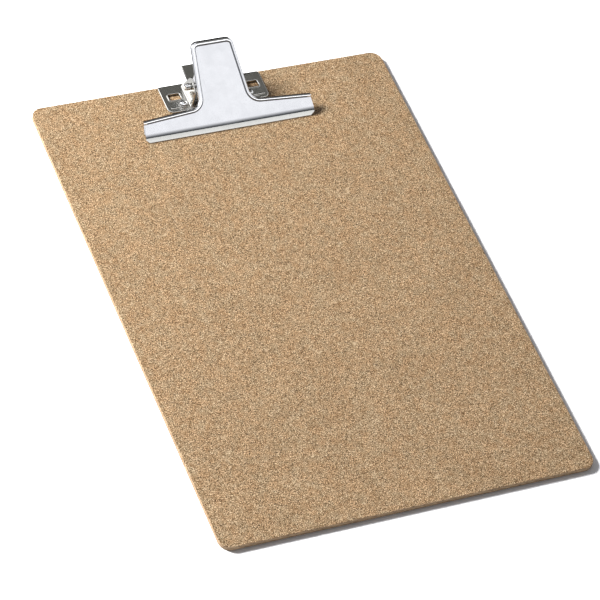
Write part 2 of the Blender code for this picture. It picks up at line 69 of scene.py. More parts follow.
# ---- places and sizes read from the frame, in millimetres ----
board_low, board_high = (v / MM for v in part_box("board"))
plate_low, plate_high = (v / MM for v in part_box("base_plate"))
jaw_low, jaw_high = (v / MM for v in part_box("jaw"))
rivet_low, rivet_high = (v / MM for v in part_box("rivet_right"))
hinge = Vector(frame["joints"][0]["pos_m"]) / MM

# ---- board ----
BOARD_T = board_high.z
BOARD_CORNER_R = 7.2
BOARD_EDGE_R = 0.35
BOARD_SHARP_ANGLE = 30.0
BOARD_FLAT = 0.8       # upward part of the normal from which a face counts as a long face

# ---- base plate: two wings and a rear tab ----
PLATE_T = 0.8
PLATE_Z = plate_low.z
PLATE_TOP = PLATE_Z + PLATE_T
PLATE_HALF_W = plate_high.x
PLATE_FRONT_Y = plate_low.y
PLATE_REAR_Y = 169.6
PLATE_CORNER_R = 4.0   # front corners
PLATE_REAR_R = 1.6     # rear corners
PLATE_EDGE_R = 0.6     # rolled upper edge of the cut sheet
PLATE_LOW_EASE = 0.12  # and its eased lower edge
TAB_HALF_W = 13.3
TAB_TAPER = 0.4        # narrower at its free end
TAB_END_Y = plate_high.y
TAB_CORNER_R = 1.2
SINK = 0.25            # how far pressed details reach into the sheet, so that they fuse

WINDOW_X = 26.2        # window centre, each side
WINDOW_Y = 159.3
WINDOW_W = 7.4
WINDOW_L = 5.0
WINDOW_R = 0.8
WINDOW_RIM = 0.9       # width of the raised rim
WINDOW_RIM_H = 0.6
WINDOW_RIM_LAP = 0.05  # how far the rim reaches over the window's edge, so that it fuses
BEAD_X = 27.5          # stiffening bead in front of each window
BEAD_Y = 150.5
BEAD_LEN = 8.0
BEAD_W = 1.3
BEAD_H = 0.45
BEAD_TIP = 0.12        # size of the bead at its two tips, as a share

# ---- ears, which carry the pin ----
EAR_T = 0.9
EAR_ROOT_X = 18.3      # outer face of the ear at the plate
EAR_LEAN = tan(radians(6.0))   # inward, per millimetre of height
EAR_ROOT_R = 0.9       # a tighter bend than the CAD solid's
EAR_EDGE_R = 0.25
# (y, z, corner radius), seen from the side
EAR_OUTLINE = [(149.6, 4.0, 0.0), (168.4, 4.0, 0.0), (160.6, 19.8, 3.2), (150.6, 15.0, 2.6)]
ROOT_FRONT = 0.05      # the root bend starts this far behind the ear's front edge
ROOT_REAR = 1.2        # and ends this far before its sloping rear edge

# ---- jaw: lever, bar and lip in one sheet ----
JAW_T = 0.9
TILT = radians(29.2)   # web of the closed jaw above the board
FOLD_Y = 129.1         # outer corner of the fold between web and lip
FOLD_Z = 6.9
FOLD_SOFT_R = 9.5      # the web first curves gently, then turns sharply into the lip
FOLD_SOFT_TURN = radians(15.0)
FOLD_SHARP_R = 2.0
LIP_Y = jaw_low.y
LIP_Z = jaw_low.z
LIP_CHAMFER = 2.3      # corner cut off each end of the lip, across
LIP_CHAMFER_H = 1.7    # and upwards
BAR_HALF_W = jaw_high.x
BAR_TAPER = 0.4        # narrower at the rear edge
BAR_END_DEPTH = 10.45  # fold to rear edge, measured on the web at the bar ends
BAR_REAR_SLOPE = 0.072
BAR_END_R = 0.7        # rounded ends of the bar
FILLET_R = 6.5         # bar to lever
LEVER_END = 54.6       # fold to lever end, measured on the web
LEVER_HALF_W = 13.85   # at the lever end
LEVER_TAPER = 0.085    # half width gained per millimetre towards the bar
LEVER_CORNER_R = 5.0
JAW_EDGE_R = 0.2       # broken edge of the cut sheet
JAW_STEP = 0.7         # spacing of points along the rimmed edge

RIM_W = 2.7            # raised rim round the recessed web
RIM_H = 0.98           # 0.02 under the CAD rim, so that the finer arcs stay inside the CAD box
RIM_STEP = 0.5
RIM_OUT_R = 2.2        # roll of the rim's outer edge
RIM_FOOT_R = 0.6       # crease between the rim and the web
END_RIM_W = 3.6        # both are larger across the lever end
END_OUT_R = 2.9
RIM_TUCK = 0.6         # how far the inset flange starts below the rim's turned-under edge
FOOT_STEPS = 7         # facets of the crease
FLANGE_POINTS = 6      # points of rim_profile that belong to the flange
TIP_POINTS = 3         # points of front_profile round the lip's lower edge

FLANGE_SIDE = 4.3      # flange depth below the web, lever sides
FLANGE_REAR = 1.6      # bar rear edge
FLANGE_END = 2.3       # lever end
FLANGE_RISE = 6.0      # run over which the flange deepens behind the bar
FLANGE_FADE = 7.0      # run over which it grows shallow again at the lever end
FLANGE_INSET = 1.6     # how far the side flange stands in from the rolled rim's edge
CHEEK_SIDE = 4.5       # half width past the lever end that still counts as lever side
CHEEK_HALF_L = 5.4     # half length of the cheek along the lever
CHEEK_DROP = 0.75      # cheek depth below the pin, as a share of its half length
CHEEK_BLEND = 4.0      # run over which the cheek fades into the flange

# ---- hinge pin ----
PIN_R = 1.5
PIN_HEAD_R = 2.2
PIN_HEAD_LEN = 3.6     # formed head, left end
PIN_HEAD_DOME = 0.8
PIN_HEAD_EASE = 0.25
PIN_PEEN_H = 0.9       # peened over, right end
BORE_REACH = 22.0      # half length of the bore cutter, past both ears

# ---- torsion spring ----
WIRE_R = 0.7
COIL_R = 3.3           # wire centre line
COIL_TURNS = 4
COIL_PITCH = 1.75
COIL_INNER_X = 3.2
SPRING_LEG_Y = 166.5
SPRING_LEG_REACH = 12.0  # run of the lower leg behind the coil
SPRING_LEG_SPLAY = 0.2   # how far outwards the leg drifts on that run
SPRING_BRIDGE_R = 1.4    # bend between the bridge and each arm
SPRING_TOP_S = 43.2      # where the bridge bears under the web

# ---- rivets, and the recesses in the board's back ----
RIVET_X = (rivet_low.x + rivet_high.x) / 2
RIVET_Y = (rivet_low.y + rivet_high.y) / 2
RIVET_R = 1.5
RIVET_HEAD_R = 2.4
RIVET_HEAD_H = 1.0
RIVET_TAIL_R = 2.6
RIVET_TAIL_H = 0.6
RIVET_TAIL_BEVEL = 0.3
RECESS_R = 3.2
RECESS_DEPTH = 1.2


# ---- mesh helpers ----
def smooth_step(u):
    """Ease from 0 to 1 as u goes from 0 to 1."""
    u = min(1.0, max(0.0, u))
    return u * u * (3.0 - 2.0 * u)


def object_from(name, bm):
    """Turn a bmesh in millimetres into an object in metres."""
    bmesh.ops.remove_doubles(bm, verts=bm.verts[:], dist=MERGE)
    bmesh.ops.recalc_face_normals(bm, faces=bm.faces[:])
    bmesh.ops.scale(bm, verts=bm.verts[:], vec=(MM, MM, MM))
    mesh = bpy.data.meshes.new(name)
    bm.to_mesh(mesh)
    bm.free()
    ob = bpy.data.objects.new(name, mesh)
    bpy.context.scene.collection.objects.link(ob)
    return ob


def evaluate(ob):
    """Replace an object's mesh with its modified mesh and drop the modifiers."""
    bpy.context.view_layer.update()
    graph = bpy.context.evaluated_depsgraph_get()
    made = bpy.data.meshes.new_from_object(ob.evaluated_get(graph), depsgraph=graph)
    ob.modifiers.clear()
    old = ob.data
    ob.data = made
    bpy.data.meshes.remove(old)
    made.name = ob.name


def cut_and_join(ob, tools):
    """Apply a list of (tool object, operation) Booleans in order and remove the tools."""
    for tool, operation in tools:
        mod = ob.modifiers.new(tool.name, "BOOLEAN")
        mod.operation = operation
        mod.solver = "EXACT"
        mod.object = tool
    evaluate(ob)
    for tool, _ in tools:
        bpy.data.objects.remove(tool, do_unlink=True)


def round_edges(ob, radius):
    """Round an object's sharp edges; radius in millimetres."""
    mod = ob.modifiers.new("edge_round", "BEVEL")
    mod.width = radius * MM
    mod.segments = 3
    mod.limit_method = "ANGLE"
    mod.angle_limit = radians(32.0)
    mod.miter_outer = "MITER_ARC"
    evaluate(ob)


def finish_shading(ob, sharp=SHARP_ANGLE):
    """Smooth shading whose large flat faces look flat."""
    ob.data.shade_smooth()
    ob.data.set_sharp_from_angle(angle=radians(sharp))
    mod = ob.modifiers.new("weighted_normals", "WEIGHTED_NORMAL")
    mod.weight = 100
    mod.keep_sharp = True


def place(ob, body, node):
    """Let a piece stand for a CAD node and ride on its body."""
    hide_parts(node)
    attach(ob, body)


def prism(bm, points, to_3d, low, high):
    """Extrude an outline; to_3d(a, b, depth) puts one of its points in space."""
    base = [bm.verts.new(to_3d(a, b, low)) for a, b in points]
    top = [bm.verts.new(to_3d(a, b, high)) for a, b in points]
    bm.faces.new(base[::-1])
    bm.faces.new(top)
    for i in range(len(points)):
        j = (i + 1) % len(points)
        bm.faces.new((base[i], base[j], top[j], top[i]))


def stack(bm, rows, close_ends=True):
    """Skin a list of closed point loops of equal length."""
    rings = [[bm.verts.new(p) for p in row] for row in rows]
    for lower, upper in zip(rings, rings[1:]):
        for i in range(len(lower)):
            j = (i + 1) % len(lower)
            bm.faces.new((lower[i], lower[j], upper[j], upper[i]))
    if close_ends:
        bm.faces.new(rings[0][::-1])
        bm.faces.new(rings[-1])


def rounded(corners, steps=10):
    """Round a polygon given as (x, y, radius) corners."""
    out = []
    count = len(corners)
    for i, (x, y, r) in enumerate(corners):
        here = Vector((x, y))
        back = (Vector(corners[i - 1][:2]) - here).normalized()
        ahead = (Vector(corners[(i + 1) % count][:2]) - here).normalized()
        if r <= 0.0:
            out.append((x, y))
            continue
        half = back.angle(ahead) / 2.0
        centre = here + (back + ahead).normalized() * (r / sin(half))
        start = here + back * (r / tan(half)) - centre
        end = here + ahead * (r / tan(half)) - centre
        a0 = atan2(start.y, start.x)
        turn = (atan2(end.y, end.x) - a0 + pi) % (2.0 * pi) - pi
        for k in range(steps + 1):
            a = a0 + turn * k / steps
            out.append((centre.x + r * cos(a), centre.y + r * sin(a)))
    return out


def rounded_rectangle(cx, cy, width, length, r, steps=8):
    west, east = cx - width / 2, cx + width / 2
    south, north = cy - length / 2, cy + length / 2
    return rounded([(west, south, r), (east, south, r), (east, north, r), (west, north, r)], steps)


def arc_points(cx, cy, r, a0, a1, steps):
    """Points of an arc, from angle a0 to a1, both ends included."""
    return [(cx + r * cos(a0 + (a1 - a0) * k / steps), cy + r * sin(a0 + (a1 - a0) * k / steps))
            for k in range(steps + 1)]


def resample(points, step):
    """Divide the long segments of a line, so that its points lie about step apart."""
    out = [points[0]]
    for (x0, y0), (x1, y1) in zip(points, points[1:]):
        count = max(1, round(hypot(x1 - x0, y1 - y0) / step))
        for k in range(1, count + 1):
            out.append((x0 + (x1 - x0) * k / count, y0 + (y1 - y0) * k / count))
    return out


def lathe(bm, profile, to_3d, steps):
    """Turn (offset, radius) points about an axis; to_3d(offset, a, b) puts one in space."""
    angles = [2.0 * pi * k / steps for k in range(steps)]
    rings = []
    for offset, r in profile:
        if r < MERGE:
            rings.append([bm.verts.new(to_3d(offset, 0.0, 0.0))])
        else:
            rings.append([bm.verts.new(to_3d(offset, r * cos(a), r * sin(a))) for a in angles])
    join_rings(bm, rings, steps)


def join_rings(bm, rings, steps):
    """Skin rings of points; a ring of one point closes the shape in a fan."""
    for lower, upper in zip(rings, rings[1:]):
        for k in range(steps):
            n = (k + 1) % steps
            if len(lower) == 1:
                bm.faces.new((lower[0], upper[n], upper[k]))
            elif len(upper) == 1:
                bm.faces.new((lower[k], lower[n], upper[0]))
            else:
                bm.faces.new((lower[k], lower[n], upper[n], upper[k]))


def on_pin_axis(offset, a, b):
    return (offset, hinge.y + a, hinge.z + b)


def on_rivet_axis(side):
    def to_3d(offset, a, b):
        return (side * RIVET_X + a, RIVET_Y + b, offset)
    return to_3d


def dome(edge_r, height, steps=10):
    """(offset, radius) points from the dome's edge to its top."""
    angles = [pi / 2 * k / steps for k in range(steps + 1)]
    return [(height * sin(a), edge_r * cos(a)) for a in angles]


def bore_tool():
    r = PIN_R + GAP
    profile = [(-BORE_REACH, 0.0), (-BORE_REACH, r), (BORE_REACH, r), (BORE_REACH, 0.0)]
    bm = bmesh.new()
    lathe(bm, profile, on_pin_axis, 48)
    return object_from("bore", bm)


# ---- board ----
def board_outline(inset):
    width = board_high.x - board_low.x - 2 * inset
    length = board_high.y - board_low.y - 2 * inset
    middle = (board_low + board_high) / 2
    return rounded_rectangle(middle.x, middle.y, width, length, BOARD_CORNER_R - inset, 24)


def recess_tool(side):
    """Rivet hole with a wider recess in the board's back."""
    hole, above, below = RIVET_R + GAP, BOARD_T + 1.0, -1.0
    profile = [(below, 0.0), (below, RECESS_R), (RECESS_DEPTH, RECESS_R),
               (RECESS_DEPTH, hole), (above, hole), (above, 0.0)]
    bm = bmesh.new()
    lathe(bm, profile, on_rivet_axis(side), 48)
    return object_from("recess", bm)


def build_board():
    """Rounded sheet; the long faces and the cut edges get their own materials."""
    e = BOARD_EDGE_R
    levels = arc_points(e, e, e, -pi / 2, -pi, 4) + arc_points(e, BOARD_T - e, e, pi, pi / 2, 4)
    bm = bmesh.new()
    stack(bm, [[(x, y, z) for x, y in board_outline(inset)] for inset, z in levels])
    board = object_from("board_sheet", bm)
    cut_and_join(board, [(recess_tool(side), "DIFFERENCE") for side in (-1, 1)])
    for mat in (hardboard_face(), hardboard_edge()):
        board.data.materials.append(mat)
    for face in board.data.polygons:
        face.material_index = 0 if abs(face.normal.z) > BOARD_FLAT else 1
    finish_shading(board, BOARD_SHARP_ANGLE)
    place(board, "base", "board")


# ---- base plate ----
def plate_outline(inset):
    w, f, b = PLATE_HALF_W - inset, PLATE_FRONT_Y + inset, PLATE_REAR_Y - inset
    r, q, t = PLATE_CORNER_R - inset, PLATE_REAR_R - inset, TAB_CORNER_R - inset
    root, tip, end = TAB_HALF_W - inset, TAB_HALF_W - TAB_TAPER - inset, TAB_END_Y - inset
    return rounded([(-w, f, r), (w, f, r), (w, b, q), (root, b, 0.0), (tip, end, t),
                    (-tip, end, t), (-root, b, 0.0), (-w, b, q)])


def ear_tool(side):
    """Upright ear, leaning inwards from the plate."""
    bm = bmesh.new()

    def put(y, z, depth):
        return (side * (EAR_ROOT_X - (z - PLATE_TOP) * EAR_LEAN - depth), y, z)

    prism(bm, rounded(EAR_OUTLINE), put, 0.0, EAR_T)
    ear = object_from("ear", bm)
    round_edges(ear, EAR_EDGE_R)
    return ear


def root_tool(side):
    """Concave bend between the wing and the ear."""
    turn = pi / 2 - atan2(EAR_LEAN, 1.0)
    centre_x = EAR_ROOT_X + EAR_ROOT_R * tan(turn / 2)
    inside = EAR_T / 2
    points = [(EAR_ROOT_X - inside, PLATE_TOP - SINK), (centre_x, PLATE_TOP - SINK)]
    points += arc_points(centre_x, PLATE_TOP + EAR_ROOT_R, EAR_ROOT_R, -pi / 2, -pi / 2 - turn, 16)
    points.append((points[-1][0] - inside, points[-1][1]))
    bm = bmesh.new()

    def put(x, z, y):
        return (side * x, y, z)

    prism(bm, points, put, EAR_OUTLINE[0][0] + ROOT_FRONT, EAR_OUTLINE[1][0] - ROOT_REAR)
    return object_from("root", bm)


def window_outline(side, grow=0.0):
    width, length = WINDOW_W + 2 * grow, WINDOW_L + 2 * grow
    return rounded_rectangle(side * WINDOW_X, WINDOW_Y, width, length, WINDOW_R + grow)


def window_tool(side):
    levels = (PLATE_Z - 1.0, PLATE_TOP + 2.0)
    bm = bmesh.new()
    stack(bm, [[(x, y, z) for x, y in window_outline(side)] for z in levels])
    return object_from("window", bm)


def rim_tool(side):
    """Raised rim round a window: a low half-round ring."""
    middle, reach = (WINDOW_RIM - WINDOW_RIM_LAP) / 2, (WINDOW_RIM + WINDOW_RIM_LAP) / 2
    profile = [(-WINDOW_RIM_LAP, PLATE_TOP - SINK)]
    for across, up in arc_points(0.0, 0.0, 1.0, pi, 0.0, 12):
        profile.append((middle + reach * across, PLATE_TOP + WINDOW_RIM_H * up))
    profile.append((WINDOW_RIM, PLATE_TOP - SINK))
    profile.append(profile[0])
    rings = [[(x, y, z) for x, y in window_outline(side, grow)] for grow, z in profile]
    bm = bmesh.new()
    stack(bm, rings, close_ends=False)
    return object_from("rim", bm)


def bead_tool(side):
    """Low rounded bead with round ends, in front of the window."""
    stations, end_stations = 24, 4
    rows = []
    for i in range(stations + 1):
        x = side * (BEAD_X + BEAD_LEN * (i / stations - 0.5))
        from_end = min(1.0, min(i, stations - i) / end_stations)
        scale = max(BEAD_TIP, (1.0 - (1.0 - from_end) ** 2) ** 0.5)
        half_w, height = BEAD_W / 2 * scale, BEAD_H * scale
        row = [(x, BEAD_Y - half_w, PLATE_TOP - SINK)]
        row += [(x, BEAD_Y + half_w * across, PLATE_TOP + height * up)
                for across, up in arc_points(0.0, 0.0, 1.0, pi, 0.0, 10)]
        row.append((x, BEAD_Y + half_w, PLATE_TOP - SINK))
        rows.append(row)
    bm = bmesh.new()
    stack(bm, rows)
    return object_from("bead", bm)


def rivet_hole_tool(side):
    r, below, above = RIVET_R + GAP, PLATE_Z - 1.0, PLATE_TOP + 1.0
    profile = [(below, 0.0), (below, r), (above, r), (above, 0.0)]
    bm = bmesh.new()
    lathe(bm, profile, on_rivet_axis(side), 40)
    return object_from("rivet_hole", bm)


def build_plate():
    """Wings and tab from one outline, with the ears, beads and window rims fused on."""
    e = PLATE_EDGE_R
    levels = [(PLATE_LOW_EASE, PLATE_Z), (0.0, PLATE_Z + PLATE_LOW_EASE)]
    levels += arc_points(e, PLATE_TOP - e, e, pi, pi / 2, 5)
    bm = bmesh.new()
    stack(bm, [[(x, y, z) for x, y in plate_outline(inset)] for inset, z in levels])
    plate = object_from("clip_plate", bm)
    tools = []
    for side in (-1, 1):
        tools += [(ear_tool(side), "UNION"), (root_tool(side), "UNION"), (bead_tool(side), "UNION"),
                  (window_tool(side), "DIFFERENCE"), (rim_tool(side), "UNION"),
                  (rivet_hole_tool(side), "DIFFERENCE")]
    tools.append((bore_tool(), "DIFFERENCE"))
    cut_and_join(plate, tools)
    plate.data.materials.append(nickel("clip_plate_nickel", (0.66, 0.65, 0.62), 0.2))
    finish_shading(plate)
    place(plate, "base", "base_plate")


# ---- jaw ----
def jaw_point(x, s, n):
    """Put a point in space from the jaw's own x, s and n."""
    return (x, FOLD_Y + s * cos(TILT) - n * sin(TILT), FOLD_Z + s * sin(TILT) + n * cos(TILT))


def pin_in_jaw():
    """The pin's s and n in the jaw."""
    dy, dz = hinge.y - FOLD_Y, hinge.z - FOLD_Z
    return dy * cos(TILT) + dz * sin(TILT), -dy * sin(TILT) + dz * cos(TILT)


def jaw_half_outline():
    """Right half of the rimmed edge, from the bar's end to the middle of the lever's end."""
    end_x = BAR_HALF_W - BAR_TAPER
    side0 = LEVER_HALF_W + LEVER_TAPER * LEVER_END
    corner_s = (BAR_END_DEPTH + BAR_REAR_SLOPE * (end_x - side0)) / (1.0 - BAR_REAR_SLOPE * LEVER_TAPER)
    corner_x = side0 - LEVER_TAPER * corner_s
    corners = [(end_x, BAR_END_DEPTH, 0.0), (corner_x, corner_s, FILLET_R),
               (LEVER_HALF_W, LEVER_END, LEVER_CORNER_R), (0.0, LEVER_END, 0.0), (0.0, 0.0, 0.0)]
    without_fold = rounded(corners, 28)[:-1]
    return resample(without_fold, JAW_STEP)


def flange_at(x, s):
    """Depth and inset of the flange: shallow and flush at the bar and lever end, deep at the cheeks."""
    behind_bar = s - BAR_END_DEPTH - FILLET_R / 3
    before_end = LEVER_END - 1.0 - s
    share = min(smooth_step(behind_bar / FLANGE_RISE), smooth_step(before_end / FLANGE_FADE))
    shallow = FLANGE_REAR if s < LEVER_END / 2 else FLANGE_END
    depth = shallow + (FLANGE_SIDE - shallow) * share
    pin_s, pin_n = pin_in_jaw()
    off = abs(s - pin_s)
    on_lever_side = abs(x) < LEVER_HALF_W + CHEEK_SIDE
    if off < CHEEK_HALF_L and on_lever_side:
        depth = max(depth, -pin_n + CHEEK_DROP * (CHEEK_HALF_L ** 2 - off ** 2) ** 0.5)
    elif off < CHEEK_HALF_L + CHEEK_BLEND and on_lever_side:
        blend = 1.0 - (off - CHEEK_HALF_L) / CHEEK_BLEND
        depth += max(0.0, -pin_n - depth) * blend * blend
    return depth, share


def rim_profile(depth, share, end_share):
    """Outer and inner (inward distance, height) points of the rolled edge.

    They run from the flange's lower edge over the rim to the web. share runs from 0, flange
    flush with the rim, to 1, flange fully inset under it. end_share runs from 0 along the
    sides to 1 across the lever end.
    """
    t, e, q = JAW_T, JAW_EDGE_R, RIM_FOOT_R
    r = RIM_OUT_R + (END_OUT_R - RIM_OUT_R) * end_share
    width = RIM_W + (END_RIM_W - RIM_W) * end_share
    inset = FLANGE_INSET * share
    side = RIM_H - r                     # height at which the edge turns under
    crest = width - RIM_STEP
    slope = atan2(RIM_H, RIM_STEP)
    run = q * tan(slope / 2)
    outer = arc_points(inset + e, e - depth, e, -pi / 2, -pi, FLANGE_POINTS - 3)
    outer += [(inset, side - 0.05 - RIM_TUCK * share), (0.0, side)]
    outer += arc_points(r, side, r, pi, pi / 2 + asin(max(0.0, (r - crest) / r)), 14)[1:]
    outer += [(crest, RIM_H)]
    outer += arc_points(width + run, q, q, -pi / 2 - slope, -pi / 2, FOOT_STEPS)
    inner = [(t + inset - e, -depth), (t + inset, e - depth), (t + inset, side - 0.25 * share)]
    inner += arc_points(r, side, r - t, pi - share * pi / 3, pi / 2, 8)
    inner += [(width + 0.1, RIM_H / 2 - t), (width + run + 0.2, -t)]
    return outer, inner


def front_profile(chamfer):
    """Outer and inner (y, z) points from the web over the fold and down the lip."""
    lip_z = LIP_Z + LIP_CHAMFER_H * chamfer
    lean = atan2(FOLD_Y - LIP_Y, FOLD_Z - LIP_Z)
    down = Vector((-sin(lean), -cos(lean)))
    back = Vector((cos(TILT), sin(TILT)))
    into = Vector((cos(lean), -sin(lean)))
    corner = Vector((FOLD_Y, FOLD_Z))
    # walk along the bend from its start on the web, then slide it so that it ends on the lip
    turn = pi / 2 - lean - TILT
    steps = 12
    here = Vector((0.0, 0.0))
    spots, slopes = [here], [TILT]
    for radius, part in ((FOLD_SOFT_R, FOLD_SOFT_TURN), (FOLD_SHARP_R, turn - FOLD_SOFT_TURN)):
        stride = 2 * radius * sin(part / steps / 2)
        for _ in range(steps):
            heading = slopes[-1] + part / steps / 2
            here = here - Vector((cos(heading), sin(heading))) * stride
            spots.append(here)
            slopes.append(slopes[-1] + part / steps)
    along_lip = (here.x * back.y - here.y * back.x) / (down.x * back.y - down.y * back.x)
    start = corner + down * along_lip - here
    outer = [tuple(start + p) for p in spots]
    inner = [tuple(start + p - Vector((-sin(a), cos(a))) * JAW_T) for p, a in zip(spots, slopes)]
    # each lower edge is broken, as a quarter round of TIP_POINTS points
    tip = corner + down * ((FOLD_Z - lip_z) / cos(lean))
    e = JAW_EDGE_R
    for back_off, step_in in ((e, 0.0), (e * 0.3, e * 0.3), (0.0, e)):
        outer.append(tuple(tip - down * back_off + into * step_in))
        inner.append(tuple(tip - down * back_off + into * (JAW_T - step_in)))
    return outer, inner


def inward_directions(path):
    """Direction into the web at every point of the rimmed edge, long enough to keep the rim's width."""
    found = []
    for i, (x, s) in enumerate(path):
        if i == 0 or i == len(path) - 1:
            found.append((0.0, -1.0))
            continue
        before = Vector((x - path[i - 1][0], s - path[i - 1][1])).normalized()
        after = Vector((path[i + 1][0] - x, path[i + 1][1] - s)).normalized()
        n0 = Vector((-before.y, before.x))
        mean = (n0 + Vector((-after.y, after.x))).normalized()
        found.append(tuple(mean / max(0.5, mean.dot(n0))))
    return found


def strips(bm, rows, flip=False):
    """Faces between neighbouring rows of vertices, as one list for each pair of rows."""
    made = []
    for here, there in zip(rows, rows[1:]):
        strip = []
        for j in range(len(here) - 1):
            corners = (here[j], there[j], there[j + 1], here[j + 1])
            strip.append(bm.faces.new(corners[::-1] if flip else corners))
        made.append(strip)
    return made


def edge_strip(bm, outer, inner, end):
    """Faces that join the outer and inner skins along one end of their rows."""
    for i in range(len(outer) - 1):
        bm.faces.new((outer[i][end], inner[i][end], inner[i + 1][end], outer[i + 1][end]))


def skin_rim(bm, path):
    """Rolled edge round the lever and the bar's rear; its crease gets the second material, a dark
    nickel that paints shade there.
    """
    outer_rows, inner_rows = [], []
    for (x, s), (dx, ds) in zip(path, inward_directions(path)):
        end_share = smooth_step((s - LEVER_END) / LEVER_CORNER_R + 1.0)
        outer, inner = rim_profile(*flange_at(x, s), end_share)
        outer_rows.append([bm.verts.new(jaw_point(x + d * dx, s + d * ds, n)) for d, n in outer])
        inner_rows.append([bm.verts.new(jaw_point(x + d * dx, s + d * ds, n)) for d, n in inner])
    # the crease faces get painted shade, the dark second material, except the strips at each bar end
    bar_end = 3                                       # strips at each bar end that have no crease
    crease = slice(-FOOT_STEPS - 1, -2)               # from the crest down most of the foot
    for strip in strips(bm, outer_rows)[bar_end:-bar_end]:
        for face in strip[crease]:
            face.material_index = 1
    strips(bm, inner_rows, flip=True)
    edge_strip(bm, outer_rows, inner_rows, 0)
    return outer_rows, inner_rows


def skin_lip(bm):
    """Fold and lip, whose lower corners are cut off."""
    outer_rows, inner_rows = [], []
    for x, chamfer in ((BAR_HALF_W, 1.0), (BAR_HALF_W - LIP_CHAMFER, 0.0),
                       (-BAR_HALF_W + LIP_CHAMFER, 0.0), (-BAR_HALF_W, 1.0)):
        outer, inner = front_profile(chamfer)
        outer_rows.append([bm.verts.new((x, y, z)) for y, z in outer])
        inner_rows.append([bm.verts.new((x, y, z)) for y, z in inner])
    # skinned across the rows, because this edge runs the other way round than the rim
    strips(bm, list(zip(*outer_rows)))
    strips(bm, list(zip(*inner_rows)), flip=True)
    edge_strip(bm, outer_rows, inner_rows, -1)
    return outer_rows, inner_rows


def close_bar_end(bm, rim_outer, rim_inner, lip_outer, lip_inner):
    """Cap one end of the bar and round the cap's upper outline."""
    bm.faces.new(rim_outer + lip_outer + lip_inner[::-1] + rim_inner[::-1])
    outline = set(rim_outer[FLANGE_POINTS:] + lip_outer[:-TIP_POINTS])
    edges = [e for e in bm.edges if e.verts[0] in outline and e.verts[1] in outline]
    bmesh.ops.bevel(bm, geom=edges, offset=BAR_END_R, segments=4, profile=0.5, affect="EDGES")


def build_jaw():
    """One sheet, skinned above and below: rolled edge, flat web, fold and lip."""
    half = jaw_half_outline()
    path = half + [(-x, s) for x, s in reversed(half[:-1])]
    bm = bmesh.new()
    rim_outer, rim_inner = skin_rim(bm, path)
    lip_outer, lip_inner = skin_lip(bm)
    # the flat web, above and below
    bm.faces.new([row[-1] for row in rim_outer] + [row[0] for row in reversed(lip_outer)])
    bm.faces.new([row[0] for row in lip_inner] + [row[-1] for row in reversed(rim_inner)])
    for end in (0, -1):
        close_bar_end(bm, rim_outer[end], rim_inner[end], lip_outer[end], lip_inner[end])
    jaw = object_from("clip_jaw", bm)
    jaw.data.materials.append(nickel("clip_jaw_nickel", (0.90, 0.90, 0.92), 0.14))
    # second material: a dark nickel that paints shade into the crease at the foot of the rim
    jaw.data.materials.append(nickel("clip_jaw_crease_painted_shade", (0.17, 0.175, 0.19), 0.30))
    cut_and_join(jaw, [(bore_tool(), "DIFFERENCE")])
    finish_shading(jaw)
    place(jaw, "jaw", "jaw")


# ---- hinge pin ----
def build_pin():
    """Plain shank with a domed collar outside the left ear and a peened end outside the right."""
    ear_face = EAR_ROOT_X - (hinge.z - PLATE_TOP) * EAR_LEAN
    head = ear_face + PIN_HEAD_R * EAR_LEAN + GAP / 2
    right = [(head, PIN_R)] + [(head + dx, r) for dx, r in dome(PIN_HEAD_R, PIN_PEEN_H)]
    e = PIN_HEAD_EASE
    rim = -head - PIN_HEAD_LEN + PIN_HEAD_DOME
    collar = arc_points(-head - e, PIN_HEAD_R - e, e, 0.0, pi / 2, 4)
    left = [(-head, PIN_R)] + collar + [(rim - dx, r) for dx, r in dome(PIN_HEAD_R, PIN_HEAD_DOME, 12)]
    bm = bmesh.new()
    lathe(bm, left[::-1] + right, on_pin_axis, 64)
    pin = object_from("clip_pin", bm)
    pin.data.materials.append(nickel("pin_nickel", (0.82, 0.82, 0.82), 0.16))
    finish_shading(pin)
    place(pin, "base", "hinge_pin")


# ---- torsion spring ----
def tube(bm, path, radius, steps):
    """Round tube along a path, its rings carried on without twist."""
    angles = [2.0 * pi * k / steps for k in range(steps)]
    normal = (path[1] - path[0]).orthogonal()
    rings = []
    for i, p in enumerate(path):
        before, after = path[max(0, i - 1)], path[min(len(path) - 1, i + 1)]
        along = (after - before).normalized()
        normal = (normal - along * normal.dot(along)).normalized()
        side = along.cross(normal)
        rings.append([bm.verts.new(p + (normal * cos(a) + side * sin(a)) * radius) for a in angles])
    join_rings(bm, rings, steps)
    bm.faces.new(rings[0][::-1])
    bm.faces.new(rings[-1])


def split_run(a, b, step):
    """Points along a straight run, without its start."""
    count = max(1, round((b - a).length / step))
    return [a.lerp(b, k / count) for k in range(1, count + 1)]


